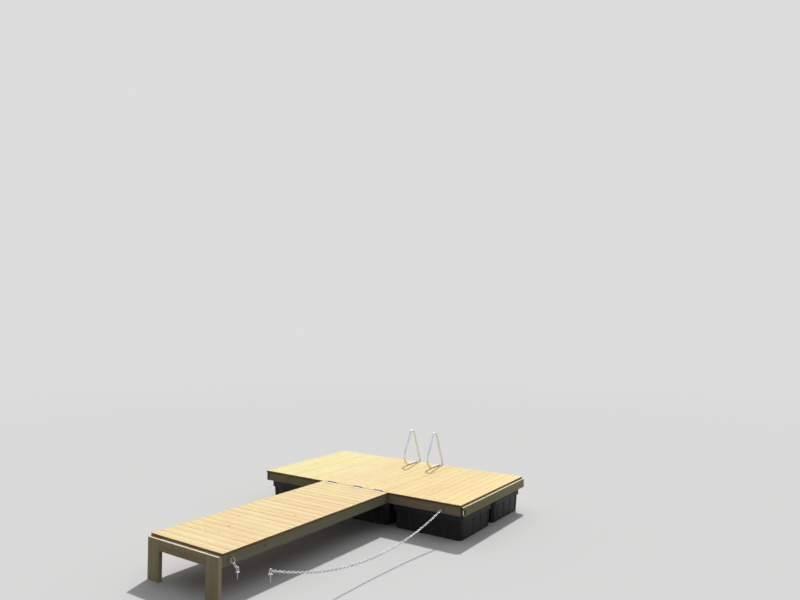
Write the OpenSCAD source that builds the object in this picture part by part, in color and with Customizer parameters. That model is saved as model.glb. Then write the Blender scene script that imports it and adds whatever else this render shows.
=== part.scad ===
// Floating T-shaped jetty: platform on floats, hinged gangway, mooring chain and swim ladder.
// X runs along the platform, +Y from the shore to the lake, +Z up.
// The origin is on the floor, under the centre of the middle front float.

/* [Platform] */
// Length of the platform frame, along the shore
platform_l = 3600; // [3500:50:4400]
// Length of the platform planks, from the seam to the lake edge
platform_d = 2000; // [1960:20:2600]
// Distance from each end of the platform to the nearest joist line
joist_inset = 640; // [560:10:700]

/* [Gangway] */
// Length of the gangway frame
gangway_l = 3000; // [2400:50:4200]
// Length of the gangway's crosswise planks
gangway_w = 1200; // [1000:20:1400]
// Width of a shore leg
shore_leg_w = 195; // [150:1:230]

/* [Timber] */
// Thickness of the frame timbers
timber_t = 48; // [45:1:60]
// Height of the frame timbers
timber_h = 123; // [110:1:148]
// Width of a deck plank
plank_w = 120; // [95:1:145]
// Thickness of a deck plank
plank_t = 28; // [22:1:34]
// Chamfer along a plank's upper edges
plank_chamfer = 3; // [1:0.5:5]
// Smallest gap between two planks
plank_gap = 3; // [2:0.5:8]
// How far the planks' ends stand out past the frame
plank_overhang = 12; // [4:1:20]
// Bare top of the platform's right end board beyond the last plank
end_ledge = 36; // [20:1:44]

/* [Seam] */
// Gap between the platform's planks and the gangway's first plank
seam_gap = 12; // [10:1:20]

/* [Floats] */
// Gap between two floats, which fill the rest of the frame's length and depth
float_gap = 60; // [20:5:160]
// Height of a float
float_h = 350; // [300:5:450]
// Distance from the frame's outer faces to the floats
float_inset = 48; // [40:1:70]
// Height of the float's wider top rim
float_rim_h = 100; // [60:5:140]
// How far the top rim stands out past the hull of the float
float_rim_out = 18; // [8:1:30]
// Corner radius of a float
float_r = 70; // [40:5:110]
// How far a float's sides draw in from the rim to its bottom
float_draft = 14; // [0:2:30]
// Radius of a float's bottom edge
float_edge_r = 30; // [10:5:50]
// Depth of the grooves in a float's sides
groove_depth = 10; // [4:1:16]
// Width of a groove
groove_w = 44; // [30:2:70]
// Wanted distance between two grooves
groove_pitch = 190; // [120:10:260]

/* [Hinges] */
// Width of a hinge along the seam
hinge_w = 140; // [100:5:180]
// Length of a hinge leaf, from the pin's axis
hinge_leaf_l = 75; // [60:5:110]
// Thickness of a hinge leaf
hinge_leaf_t = 4; // [3:0.5:6]
// Outer radius of a hinge knuckle
hinge_knuckle_r = 8; // [7:0.5:9]
// Radius of a hinge pin
hinge_pin_r = 4; // [3:0.5:5]
// Distance from the gangway's edges to the outer hinges' centres
hinge_edge = 170; // [130:5:220]
// Place of the middle hinge, right of the centre line
hinge_middle_x = 60; // [-60:5:100]

/* [Ladder] */
// Radius of the ladder's tube
tube_r = 16; // [14:1:20]
// Place of the ladder's centre line, right of the jetty's centre line
ladder_x = 85; // [-200:5:300]
// Distance between the two rails' centre lines
ladder_w = 450; // [380:10:560]
// Height of the handrails above the deck
ladder_h = 580; // [500:10:760]
// Depth of the rails over the deck, from the lake edge to the front bend
ladder_reach = 560; // [480:10:640]
// Distance from the lake edge to the end of the rail's foot tube
ladder_foot_end = 80; // [60:5:160]
// Depth of a step
step_d = 80; // [50:5:100]
// Bend radius of the handrails over the deck's feet
ladder_foot_bend = 140; // [80:5:160]
// Thickness of a step
step_t = 25; // [20:1:30]
// Distance between two steps
step_rise = 240; // [200:10:260]
// Number of grip grooves in a step
step_grooves = 5; // [3:1:7]

/* [Mooring] */
// Radius of the chain's wire
wire_r = 4; // [3:0.5:4.5]
// Outer width of a chain link
link_w = 28; // [27:0.5:34]
// Wanted inner length of a chain link
link_pitch = 33; // [30:1:40]
// Distance from the platform's right end to the right mooring plate
right_plate_inset = 315; // [200:5:500]
// Distance from the platform's left end to the left mooring plate
left_plate_inset = 430; // [200:5:600]
// Depth of the mooring lugs' holes below the deck
lug_depth = 88; // [70:1:100]
// Radius of the hole in a mooring lug
lug_hole_r = 9; // [8.5:0.5:11]
// Thickness of a mooring lug
lug_t = 8; // [6:0.5:8]
// Place of the shore anchor, right of the centre line
anchor_x = 1390; // [1100:10:1700]
// Distance of the shore anchor from the seam
anchor_reach = 3070; // [2600:10:3600]
// Height of the shore anchor's eye above the deck
anchor_rise = 28; // [-60:2:120]
// How flat the chain hangs: the catenary's own radius
chain_a = 4400; // [3600:50:6500]
// Distance from the shore end to the gangway's own mooring plate
shore_plate_inset = 165; // [140:5:300]
// Depth of the shore plate's hole below the deck
shore_plate_depth = 66; // [64:1:90]
// Radius of the shore plate's ring
ring_r = 28; // [25:1:34]

/* [Hidden] */

// Clearance between two pieces that rest against each other on a curve
seat = 0.3;
// Radial clearance of a hinge pin
pin_play = 0.05;

// Heights
beam_z = float_h;
beam_top = beam_z + timber_h;
deck_z = beam_top + plank_t;

// A float's length along the platform, three in a row, and its width, two rows
float_l = (platform_l - 2 * float_inset - 2 * float_gap) / 3;
float_w = (platform_d - 2 * plank_overhang - 2 * float_inset - float_gap) / 2;

// Places along Y: the platform's planks start at front_y
front_y = -(plank_overhang + float_inset + float_w / 2);
rear_y = front_y + platform_d;
frame_front_y = front_y + plank_overhang;
frame_rear_y = rear_y - plank_overhang;
seam_y = front_y - seam_gap / 2;
lake_y = front_y - seam_gap;
gangway_frame_y = lake_y - plank_overhang;
shore_y = gangway_frame_y - gangway_l;
frame_half_w = gangway_w / 2 - plank_overhang;
shore_beam_y = shore_y + timber_t;
leg_x = frame_half_w - shore_leg_w / 2;

pine = [0.87, 0.72, 0.47];
galvanised = [0.72, 0.74, 0.76];
black = [0.08, 0.09, 0.09];

// How many planks cover a run, and the even gap between them
function plank_count(run) = floor((run + plank_gap) / (plank_w + plank_gap));
function even_gap(run) = (run - plank_count(run) * plank_w) / (plank_count(run) - 1);

function sinh(v) = (exp(v) - exp(-v)) / 2;
function cosh(v) = (exp(v) + exp(-v)) / 2;
function asinh(v) = ln(v + sqrt(v * v + 1));

// A timber between two corners
module timber(low, high) {
    color(pine) translate(low) cube(high - low);
}

// Platform frame
module platform_cross_beam(y) {
    timber([-platform_l / 2 + timber_t, y, beam_z], [platform_l / 2 - timber_t, y + timber_t, beam_top]);
}

module platform_end_board(x) {
    timber([x, frame_front_y, beam_z], [x + timber_t, frame_rear_y, beam_top]);
}

module platform_front_beam() { platform_cross_beam(frame_front_y); }
module platform_rear_beam() { platform_cross_beam(frame_rear_y - timber_t); }
module platform_front_joist() { platform_cross_beam(front_y + joist_inset - timber_t / 2); }
module platform_rear_joist() { platform_cross_beam(rear_y - joist_inset - timber_t / 2); }
module platform_left_end_board() { platform_end_board(-platform_l / 2); }

module platform_right_end_board() {
    color(pine) difference() {
        platform_end_board(platform_l / 2 - timber_t);
        translate([platform_l / 2 - notch_w, frame_front_y - 1, beam_z + notch_low])
            cube([notch_w + 1, notch_l + 1, notch_h]);
    }
}

// A deck plank of that length along +Y, its left edge on the Y axis
module plank(l) {
    rotate([90, 0, 0]) mirror([0, 0, 1]) linear_extrude(height = l)
        polygon([
            [0, 0],
            [plank_w, 0],
            [plank_w, plank_t - plank_chamfer],
            [plank_w - plank_chamfer, plank_t],
            [plank_chamfer, plank_t],
            [0, plank_t - plank_chamfer]]);
}

module platform_planks() {
    run = platform_l - end_ledge;
    color(pine)
        for (i = [0 : plank_count(run) - 1])
            translate([-platform_l / 2 + i * (plank_w + even_gap(run)), front_y, beam_top]) plank(platform_d);
}

// A float: a moulded shell with a wider top rim, drawn-in sides, a rounded bottom and grooves
module float_rim() {
    hull()
        for (x = [-1, 1], y = [-1, 1])
            translate([x * (float_l / 2 - float_r), y * (float_w / 2 - float_r), float_h - float_rim_h])
                cylinder(r = float_r, h = float_rim_h, $fn = 32);
}

// One corner of the shell: a post that narrows downwards and rounds off at its foot
module float_post() {
    foot_r = float_r - float_draft;
    rotate_extrude($fn = 32)
        polygon([
            [0, 0],
            for (a = [0 : 30 : 90])
                [foot_r - float_edge_r * (1 - sin(a)), float_edge_r * (1 - cos(a))],
            [float_r, float_h - float_rim_h],
            [0, float_h - float_rim_h]]);
}

module float_shell() {
    hull()
        for (x = [-1, 1], y = [-1, 1])
            translate([
                    x * (float_l / 2 - float_rim_out - float_r),
                    y * (float_w / 2 - float_rim_out - float_r),
                    0])
                float_post();
}

// A row of upright grooves along a side of that length, in the plane y = 0, cut towards +Y
module float_grooves(side_l) {
    run = side_l - 2 * float_r - groove_w;
    steps = max(1, round(run / groove_pitch));
    top = float_h - float_rim_h;
    for (i = [0 : steps])
        translate([-run / 2 + i * run / steps, 0, 0])
            multmatrix([[1, 0, 0, 0], [0, 1, -float_draft / top, float_draft], [0, 0, 1, 0]])
                linear_extrude(height = top)
                    polygon([
                        [-groove_w / 2 - 4, -4],
                        [groove_w / 2 + 4, -4],
                        [groove_w / 2 - groove_depth, groove_depth],
                        [groove_depth - groove_w / 2, groove_depth]]);
}

module float_body(x, y) {
    half_l = float_l / 2 - float_rim_out;
    half_w = float_w / 2 - float_rim_out;
    color(black) translate([x, y, 0]) {
        float_rim();
        difference() {
            float_shell();
            for (side = [0, 180])
                rotate([0, 0, side]) translate([0, -half_w, 0]) float_grooves(2 * half_l);
            for (side = [90, 270])
                rotate([0, 0, side]) translate([0, -half_l, 0]) float_grooves(2 * half_w);
        }
    }
}

float_side_x = float_l + float_gap;
float_rear_y = float_w + float_gap;

module float_front_left() { float_body(-float_side_x, 0); }
module float_front_middle() { float_body(0, 0); }
module float_front_right() { float_body(float_side_x, 0); }
module float_rear_left() { float_body(-float_side_x, float_rear_y); }
module float_rear_middle() { float_body(0, float_rear_y); }
module float_rear_right() { float_body(float_side_x, float_rear_y); }

// The front corner of the right end board is notched, and a round bar stands in the notch
notch_w = 28;
notch_l = 60;
notch_low = 25;
notch_h = 62;
bar_r = 7;
bar_inset = bar_r + 2;

module corner_bar() {
    color(galvanised)
        translate([platform_l / 2 - bar_inset, frame_front_y + bar_inset, beam_z + notch_low])
            cylinder(r = bar_r, h = notch_h, $fn = 32);
}

// A round tube bent to the left in the plane of its path: points, one bend radius for each inner point
function unit(v) = v / norm(v);
function turn(a, b, c) = let (p = unit(b - a), q = unit(c - b)) atan2(p.x * q.y - p.y * q.x, p * q);
function trim_at(points, bends, i) =
    (i == 0 || i == len(points) - 1) ? 0
    : bends[i - 1] * tan(abs(turn(points[i - 1], points[i], points[i + 1])) / 2);

// The tube from its point i on, starting at the origin along +X: its bends are a hair thinner
// than its straight runs, which reach a little way over them
bend_thinner = 0.05;
run_lap = 1;

module tube_from(points, bends, r, i) {
    last = i == len(points) - 2;
    run = norm(points[i + 1] - points[i]) - trim_at(points, bends, i) - trim_at(points, bends, i + 1);
    start = i == 0 ? 0 : -run_lap;
    end = last ? run : run + run_lap;
    translate([start, 0, 0]) rotate([0, 90, 0]) cylinder(r = r, h = end - start, $fn = 32);
    if (!last) {
        angle = turn(points[i], points[i + 1], points[i + 2]);
        bend = bends[i];
        translate([run, bend, 0]) {
            rotate([0, 0, -90]) rotate_extrude(angle = angle, $fn = 96)
                translate([bend, 0]) circle(r = r - bend_thinner, $fn = 32);
            rotate([0, 0, angle]) translate([0, -bend, 0]) tube_from(points, bends, r, i + 1);
        }
    }
}

module bent_tube(points, bends, r) {
    d = points[1] - points[0];
    translate([points[0].x, points[0].y, 0]) rotate([0, 0, atan2(d.y, d.x)]) tube_from(points, bends, r, 0);
}

// Ladder, in a plane across the deck: distance from the lake edge, height above the deck
ladder_standoff = tube_r + 3;
ladder_low = 20;
ladder_top_bend = 65;
ladder_peak = ladder_h - tube_r + 1.4 * ladder_top_bend;
ladder_path = [
    [ladder_standoff, ladder_low - deck_z],
    [ladder_standoff, 25],
    [-ladder_reach / 2 + 55, ladder_peak],
    [-ladder_reach, tube_r],
    [-ladder_foot_end, tube_r]];
ladder_bends = [100, ladder_top_bend, ladder_foot_bend];

module ladder_rail(x) {
    color(galvanised) translate([x, rear_y, deck_z]) rotate([90, 0, 90])
        bent_tube(ladder_path, ladder_bends, tube_r);
}

// A step's section across its length: rounded edges and grip grooves in its top
module step_section() {
    edge_r = step_t / 2;
    difference() {
        union() {
            translate([edge_r - step_d / 2, 0]) square([step_d - 2 * edge_r, step_t]);
            for (side = [-1, 1])
                translate([side * (step_d / 2 - edge_r), edge_r]) circle(r = edge_r, $fn = 32);
        }
        grip_w = step_d - 2 * edge_r;
        for (i = [0 : step_grooves - 1])
            translate([-grip_w / 2 + (i + 0.5) * grip_w / step_grooves - 1.5, step_t - 2]) square([3, 3]);
    }
}

module ladder_step(z) {
    step_y = rear_y + ladder_standoff;
    color(galvanised) difference() {
        translate([ladder_x - ladder_w / 2, step_y, z])
            rotate([90, 0, 90]) linear_extrude(height = ladder_w) step_section();
        for (side = [-1, 1])
            translate([ladder_x + side * ladder_w / 2, step_y, z - 1])
                cylinder(r = tube_r + seat, h = step_t + 2, $fn = 48);
    }
}

module ladder_left_rail() { ladder_rail(ladder_x - ladder_w / 2); }
module ladder_right_rail() { ladder_rail(ladder_x + ladder_w / 2); }
module ladder_upper_step() { ladder_step(ladder_low + 35 + step_rise); }
module ladder_lower_step() { ladder_step(ladder_low + 35); }

// Hinges over the seam: five knuckles, three on the platform and two on the gangway
knuckle_gap = 0.5;
knuckle_w = (hinge_w - 4 * knuckle_gap) / 5;
notch_play = 1.2;
pin_head_t = 3;
leaf_corner_r = 10;

// The leaf's plate beyond the knuckles, with its two far corners rounded
module hinge_leaf_plate(side) {
    near = hinge_knuckle_r + notch_play;
    straight_l = hinge_leaf_l - near - leaf_corner_r;
    mirror([0, side > 0 ? 0 : 1, 0]) {
        translate([-hinge_w / 2, near, 0]) cube([hinge_w, straight_l, hinge_leaf_t]);
        translate([leaf_corner_r - hinge_w / 2, near, 0])
            cube([hinge_w - 2 * leaf_corner_r, straight_l + leaf_corner_r, hinge_leaf_t]);
        for (x = [-1, 1])
            translate([x * (hinge_w / 2 - leaf_corner_r), near + straight_l, 0])
                cylinder(r = leaf_corner_r, h = hinge_leaf_t, $fn = 48);
    }
}

module hinge_leaf(x, side, knuckles) {
    z = hinge_knuckle_r;
    color(galvanised) translate([x, seam_y, deck_z]) difference() {
        union() {
            hinge_leaf_plate(side);
            for (i = knuckles)
                translate([-hinge_w / 2 + i * (knuckle_w + knuckle_gap), 0, 0]) {
                    translate([0, side > 0 ? 0 : -hinge_leaf_l / 2, 0])
                        cube([knuckle_w, hinge_leaf_l / 2, hinge_leaf_t]);
                    translate([0, 0, z]) rotate([0, 90, 0]) cylinder(r = hinge_knuckle_r, h = knuckle_w, $fn = 48);
                }
        }
        translate([-hinge_w, 0, z]) rotate([0, 90, 0])
            cylinder(r = hinge_pin_r + pin_play, h = 2 * hinge_w, $fn = 48);
    }
}

module hinge_pin(x) {
    color(galvanised) translate([x, seam_y, deck_z + hinge_knuckle_r]) rotate([0, 90, 0]) {
        translate([0, 0, -hinge_w / 2 - seat]) cylinder(r = hinge_pin_r, h = hinge_w + 2 * seat, $fn = 48);
        for (end = [-hinge_w / 2 - seat - pin_head_t, hinge_w / 2 + seat])
            translate([0, 0, end]) cylinder(r = hinge_knuckle_r - 1.5, h = pin_head_t, $fn = 48);
    }
}

left_hinge_x = -gangway_w / 2 + hinge_edge;
right_hinge_x = gangway_w / 2 - hinge_edge;
platform_knuckles = [0, 2, 4];
gangway_knuckles = [1, 3];

module left_hinge_platform_leaf() { hinge_leaf(left_hinge_x, 1, platform_knuckles); }
module middle_hinge_platform_leaf() { hinge_leaf(hinge_middle_x, 1, platform_knuckles); }
module right_hinge_platform_leaf() { hinge_leaf(right_hinge_x, 1, platform_knuckles); }
module left_hinge_gangway_leaf() { hinge_leaf(left_hinge_x, -1, gangway_knuckles); }
module middle_hinge_gangway_leaf() { hinge_leaf(hinge_middle_x, -1, gangway_knuckles); }
module right_hinge_gangway_leaf() { hinge_leaf(right_hinge_x, -1, gangway_knuckles); }
module left_hinge_pin() { hinge_pin(left_hinge_x); }
module middle_hinge_pin() { hinge_pin(hinge_middle_x); }
module right_hinge_pin() { hinge_pin(right_hinge_x); }

// A mooring plate: a base on the timber and a drilled lug standing out along +X
plate_w = 50;
plate_h = 70;
plate_t = 5;
plate_r = 8;
lug_reach = 26;
lug_r = lug_hole_r + 9;

// The plate's base against the timber, its corners rounded
module plate_base() {
    translate([0, -plate_w / 2 + plate_r, -plate_h / 2]) cube([plate_t, plate_w - 2 * plate_r, plate_h]);
    translate([0, -plate_w / 2, -plate_h / 2 + plate_r]) cube([plate_t, plate_w, plate_h - 2 * plate_r]);
    for (y = [-1, 1], z = [-1, 1])
        translate([0, y * (plate_w / 2 - plate_r), z * (plate_h / 2 - plate_r)])
            rotate([0, 90, 0]) cylinder(r = plate_r, h = plate_t, $fn = 32);
}

module mooring_plate() {
    color(galvanised) difference() {
        union() {
            plate_base();
            translate([0, -lug_t / 2, -lug_r]) cube([lug_reach, lug_t, 2 * lug_r]);
            translate([lug_reach, lug_t / 2, 0]) rotate([90, 0, 0]) cylinder(r = lug_r, h = lug_t, $fn = 64);
        }
        translate([lug_reach, lug_t, 0]) rotate([90, 0, 0]) cylinder(r = lug_hole_r, h = 2 * lug_t, $fn = 48);
    }
}

plate_z = deck_z - lug_depth;
left_plate_x = -platform_l / 2 + left_plate_inset;
right_plate_x = platform_l / 2 - right_plate_inset;

module left_mooring_plate() { translate([left_plate_x, frame_front_y, plate_z]) rotate([0, 0, -90]) mooring_plate(); }
module right_mooring_plate() { translate([right_plate_x, frame_front_y, plate_z]) rotate([0, 0, -90]) mooring_plate(); }

// Radius of a link's crown, to the middle of its wire
crown_r = link_w / 2 - wire_r;

// One chain link along X, lying in the XY plane
module chain_link(inner_l) {
    half = inner_l / 2 + wire_r - crown_r;
    translate([-half, crown_r, 0]) rotate([0, 90, 0]) cylinder(r = wire_r, h = 2 * half, $fn = 16);
    translate([-half, -crown_r, 0]) rotate([0, 90, 0]) cylinder(r = wire_r, h = 2 * half, $fn = 16);
    translate([half, 0, 0]) rotate([0, 0, -90]) link_crown();
    translate([-half, 0, 0]) rotate([0, 0, 90]) link_crown();
}

module link_crown() {
    rotate_extrude(angle = 180, $fn = 48) translate([crown_r, 0]) circle(r = wire_r, $fn = 16);
}

// How far a wire bent to that radius falls away across a lug's thickness
function fall_in_lug(r) = r - sqrt(r * r - lug_t * lug_t / 4);

// An anchor eye: a ring in the XZ plane on an upright bolt
eye_r = 18;
eye_wire_r = 5;
eye_bolt_l = 90;

module anchor_eye() {
    color(galvanised) {
        rotate([90, 0, 0]) rotate_extrude($fn = 64) translate([eye_r, 0]) circle(r = eye_wire_r, $fn = 24);
        translate([0, 0, -eye_r - eye_bolt_l]) cylinder(r = eye_wire_r, h = eye_bolt_l, $fn = 24);
        translate([0, 0, -eye_r - eye_wire_r - 12]) cylinder(r = 22, h = 4, $fn = 48);
    }
}

// The mooring chain hangs in a catenary from the right lug to the anchor eye. Its first link
// bears on the wall of the lug's hole, and its last on the eye's ring.
hook = lug_hole_r - wire_r - seat - fall_in_lug(crown_r);
chain_from = [right_plate_x, frame_front_y - lug_reach, plate_z];
chain_to = [anchor_x, seam_y - anchor_reach, deck_z + anchor_rise];
chain_plan = [chain_to.x - chain_from.x, chain_to.y - chain_from.y];
chain_yaw = atan2(chain_plan.y, chain_plan.x);
chain_span = norm(chain_plan);
chain_rise = chain_to.z - chain_from.z;
chain_low = chain_span / 2 - chain_a * asinh(chain_rise / (2 * chain_a * sinh(chain_span / (2 * chain_a))));
chain_start = sinh(-chain_low / chain_a);
chain_arc = chain_a * (sinh((chain_span - chain_low) / chain_a) - chain_start);
end_hook = eye_r - eye_wire_r - wire_r - seat;
chain_used = chain_arc - hook - end_hook - 2 * wire_r - seat;
link_count = 2 * round((chain_used / link_pitch - 1) / 2) + 1;
link_step = chain_used / link_count;

// Distance along the span at a distance along the chain
function span_at(arc) = chain_low + chain_a * asinh(arc / chain_a + chain_start);
function height_at(s) = chain_from.z + chain_a * (cosh((s - chain_low) / chain_a) - cosh(chain_low / chain_a));
function slope_at(s) = atan(sinh((s - chain_low) / chain_a));

// Every second link of the chain, from the given one: they lie level and upright in turn
module chain_links(first) {
    color(galvanised)
        for (i = [first : 2 : link_count - 1]) {
            s = span_at(hook + wire_r + seat / 2 + (i + 0.5) * link_step);
            translate([chain_from.x, chain_from.y, height_at(s)]) rotate([0, 0, chain_yaw])
                translate([s, 0, 0]) rotate([90 * (i % 2), -slope_at(s), 0]) chain_link(link_step + seat);
        }
}

module chain_level_links() { chain_links(0); }
module chain_upright_links() { chain_links(1); }

module mooring_anchor_eye() {
    translate(chain_to) rotate([0, 0, chain_yaw]) anchor_eye();
}

// Gangway frame
module gangway_long_beam(x) {
    timber([x, shore_beam_y, beam_z], [x + timber_t, gangway_frame_y, beam_top]);
}

module gangway_end_board(half_l, y) {
    timber([-half_l, y, beam_z], [half_l, y + timber_t, beam_top]);
}

module gangway_left_beam() { gangway_long_beam(-frame_half_w); }
module gangway_right_beam() { gangway_long_beam(frame_half_w - timber_t); }
module gangway_middle_beam() {
    timber([-timber_t / 2, shore_beam_y, beam_z], [timber_t / 2, gangway_frame_y - timber_t, beam_top]);
}
module gangway_shore_board() { gangway_end_board(leg_x - shore_leg_w / 2, shore_y); }
module gangway_lake_board() { gangway_end_board(frame_half_w - timber_t, gangway_frame_y - timber_t); }

module gangway_planks() {
    run = lake_y - shore_beam_y;
    color(pine)
        for (i = [0 : plank_count(run) - 1])
            translate([-gangway_w / 2, lake_y - i * (plank_w + even_gap(run)), beam_top])
                rotate([0, 0, -90]) plank(gangway_w);
}

// Shore legs, in front of the side beams' ends, with the shore board between them
module shore_leg(x) {
    timber([x - shore_leg_w / 2, shore_y, 0], [x + shore_leg_w / 2, shore_beam_y, beam_top]);
}

module left_shore_leg() { shore_leg(-leg_x); }
module right_shore_leg() { shore_leg(leg_x); }

// The gangway's own short chain: a ring in the shore plate's lug, links, and an eye in the bank
shore_links = 2;
shore_slope = 35;
ring_lean = 20;
ring_wire_r = wire_r;
shore_plate_at = [frame_half_w, shore_y + shore_plate_inset, deck_z - shore_plate_depth];
ring_top = shore_plate_at + [lug_reach, 0, ring_wire_r + seat + fall_in_lug(ring_r) - lug_hole_r];
ring_down = [sin(ring_lean), 0, -cos(ring_lean)];
ring_foot = ring_top + 2 * ring_r * ring_down;
shore_pull = [cos(shore_slope), 0, -sin(shore_slope)];
shore_eye_at = ring_foot + (shore_links * link_pitch + wire_r - ring_wire_r + end_hook) * shore_pull;

module shore_mooring_plate() { translate(shore_plate_at) mooring_plate(); }

module shore_ring() {
    color(galvanised) translate(ring_top + ring_r * ring_down) rotate([0, 90 - ring_lean, 0])
        rotate_extrude($fn = 64) translate([ring_r, 0]) circle(r = ring_wire_r, $fn = 24);
}

module shore_chain() {
    color(galvanised) translate(ring_foot) rotate([0, shore_slope, 0])
        for (i = [0 : shore_links - 1])
            translate([(i + 0.5) * link_pitch - ring_wire_r - seat / 2, 0, 0]) rotate([90 * ((i + 1) % 2), 0, 0])
                chain_link(link_pitch + seat);
}

module shore_anchor_eye() { translate(shore_eye_at) anchor_eye(); }

platform_front_beam();
platform_rear_beam();
platform_front_joist();
platform_rear_joist();
platform_left_end_board();
platform_right_end_board();
platform_planks();
float_front_left();
float_front_middle();
float_front_right();
float_rear_left();
float_rear_middle();
float_rear_right();
corner_bar();
ladder_left_rail();
ladder_right_rail();
ladder_upper_step();
ladder_lower_step();
left_hinge_platform_leaf();
middle_hinge_platform_leaf();
right_hinge_platform_leaf();
left_hinge_pin();
middle_hinge_pin();
right_hinge_pin();
left_mooring_plate();
right_mooring_plate();
chain_level_links();
chain_upright_links();
mooring_anchor_eye();
gangway_left_beam();
gangway_right_beam();
gangway_middle_beam();
gangway_shore_board();
gangway_lake_board();
gangway_planks();
left_hinge_gangway_leaf();
middle_hinge_gangway_leaf();
right_hinge_gangway_leaf();
left_shore_leg();
right_shore_leg();
shore_mooring_plate();
shore_ring();
shore_chain();
shore_anchor_eye();
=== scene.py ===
import bpy
import bmesh
import math
import random
from mathutils import Matrix, Vector


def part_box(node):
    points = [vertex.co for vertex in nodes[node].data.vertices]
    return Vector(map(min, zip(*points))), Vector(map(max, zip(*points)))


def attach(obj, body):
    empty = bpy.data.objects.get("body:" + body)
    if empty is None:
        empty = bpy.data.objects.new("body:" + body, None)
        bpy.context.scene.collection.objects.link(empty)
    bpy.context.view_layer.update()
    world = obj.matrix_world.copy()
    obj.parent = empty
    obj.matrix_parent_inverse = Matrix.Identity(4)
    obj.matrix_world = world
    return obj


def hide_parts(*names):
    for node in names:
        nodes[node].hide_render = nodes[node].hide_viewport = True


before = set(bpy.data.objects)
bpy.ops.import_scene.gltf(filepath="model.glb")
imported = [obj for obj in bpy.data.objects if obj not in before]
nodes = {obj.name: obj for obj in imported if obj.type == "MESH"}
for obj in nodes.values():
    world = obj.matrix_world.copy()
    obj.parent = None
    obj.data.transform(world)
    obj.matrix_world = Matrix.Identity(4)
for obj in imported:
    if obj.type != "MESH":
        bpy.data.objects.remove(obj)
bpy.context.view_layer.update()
scene = bpy.context.scene
dice = random.Random(41)

print("jetty: frame loaded, camera and light")

# Camera: where the photograph was taken from, in metres and degrees
view = {"place": (5.891, -8.091, 2.881), "heading": 33.97, "pitch": 92.13, "roll": 0.27,
        "focal": 29.115, "sensor": 36.0, "clipEnd": 400}

cameraData = bpy.data.cameras.new("photoCamera")
cameraData.lens = view["focal"]
cameraData.sensor_width = view["sensor"]
cameraData.clip_end = view["clipEnd"]
camera = bpy.data.objects.new("photoCamera", cameraData)
scene.collection.objects.link(camera)
camera.matrix_world = (Matrix.Translation(view["place"])
                       @ Matrix.Rotation(math.radians(view["heading"]), 4, "Z")
                       @ Matrix.Rotation(math.radians(view["pitch"]), 4, "X")
                       @ Matrix.Rotation(math.radians(view["roll"]), 4, "Z"))
scene.camera = camera
scene.view_settings.view_transform = "Standard"


def srgb(red, green, blue):
    # A colour as it is seen on a screen, 0 to 255, made linear
    def linear(value):
        value /= 255
        return value / 12.92 if value <= 0.04045 else ((value + 0.055) / 1.055) ** 2.4
    return (linear(red), linear(green), linear(blue), 1.0)


hair = 1e-5  # metres: what lies closer together than this is in one place
sharpFrom = 35  # degrees: edges sharper than this are eased


def meshFrom(shape, name):
    shape.normal_update()
    mesh = bpy.data.meshes.new(name)
    shape.to_mesh(mesh)
    shape.free()
    return mesh


def vertsOf(geom):
    return [v for v in geom if isinstance(v, bmesh.types.BMVert)]


def edgesOf(geom):
    return [e for e in geom if isinstance(e, bmesh.types.BMEdge)]


def roundEdges(shape, edges, width, segments=2, clamp=False):
    bmesh.ops.bevel(shape, geom=edges, offset=width, offset_type="OFFSET", segments=segments,
                    profile=0.5, affect="EDGES", clamp_overlap=clamp, material=-1)


def sharpEdges(shape, angle=sharpFrom):
    return [e for e in shape.edges
            if len(e.link_faces) == 2 and e.calc_face_angle(0) > math.radians(angle)]


def joinFlats(shape, angle):
    bmesh.ops.dissolve_limit(shape, angle_limit=math.radians(angle), verts=shape.verts, edges=shape.edges)
    shape.normal_update()


def startRing(shape, point, direction, radius, sides):
    # A ring of edges, from which a tube is pushed out and turned round bends
    ring = bmesh.ops.create_circle(shape, cap_ends=False, radius=radius, segments=sides)["verts"]
    turn = Vector(direction).to_track_quat("Z", "X").to_matrix().to_4x4()
    bmesh.ops.transform(shape, matrix=Matrix.Translation(point) @ turn, verts=ring)
    return list({e for v in ring for e in v.link_edges})


def pushRing(shape, edges, vector):
    made = bmesh.ops.extrude_edge_only(shape, edges=edges)["geom"]
    bmesh.ops.translate(shape, vec=vector, verts=vertsOf(made))
    return [e for e in edgesOf(made) if all(v in made for v in e.verts)]


def turnRing(shape, edges, centre, axis, angle, steps):
    return edgesOf(bmesh.ops.spin(shape, geom=edges, cent=centre, axis=axis, dvec=(0, 0, 0), angle=angle,
                                  steps=steps, use_merge=False, use_normal_flip=False,
                                  use_duplicate=False)["geom_last"])


class Wire:
    # One output of a node, so that shader maths can be written as plain expressions
    def __init__(self, finish, socket):
        self.finish, self.socket = finish, socket

    def __add__(self, other): return self.finish.maths("ADD", self, other)
    def __sub__(self, other): return self.finish.maths("SUBTRACT", self, other)
    def __mul__(self, other): return self.finish.maths("MULTIPLY", self, other)
    def __truediv__(self, other): return self.finish.maths("DIVIDE", self, other)
    def __rsub__(self, other): return self.finish.maths("SUBTRACT", other, self)
    def __rtruediv__(self, other): return self.finish.maths("DIVIDE", other, self)
    __radd__, __rmul__ = __add__, __mul__


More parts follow.
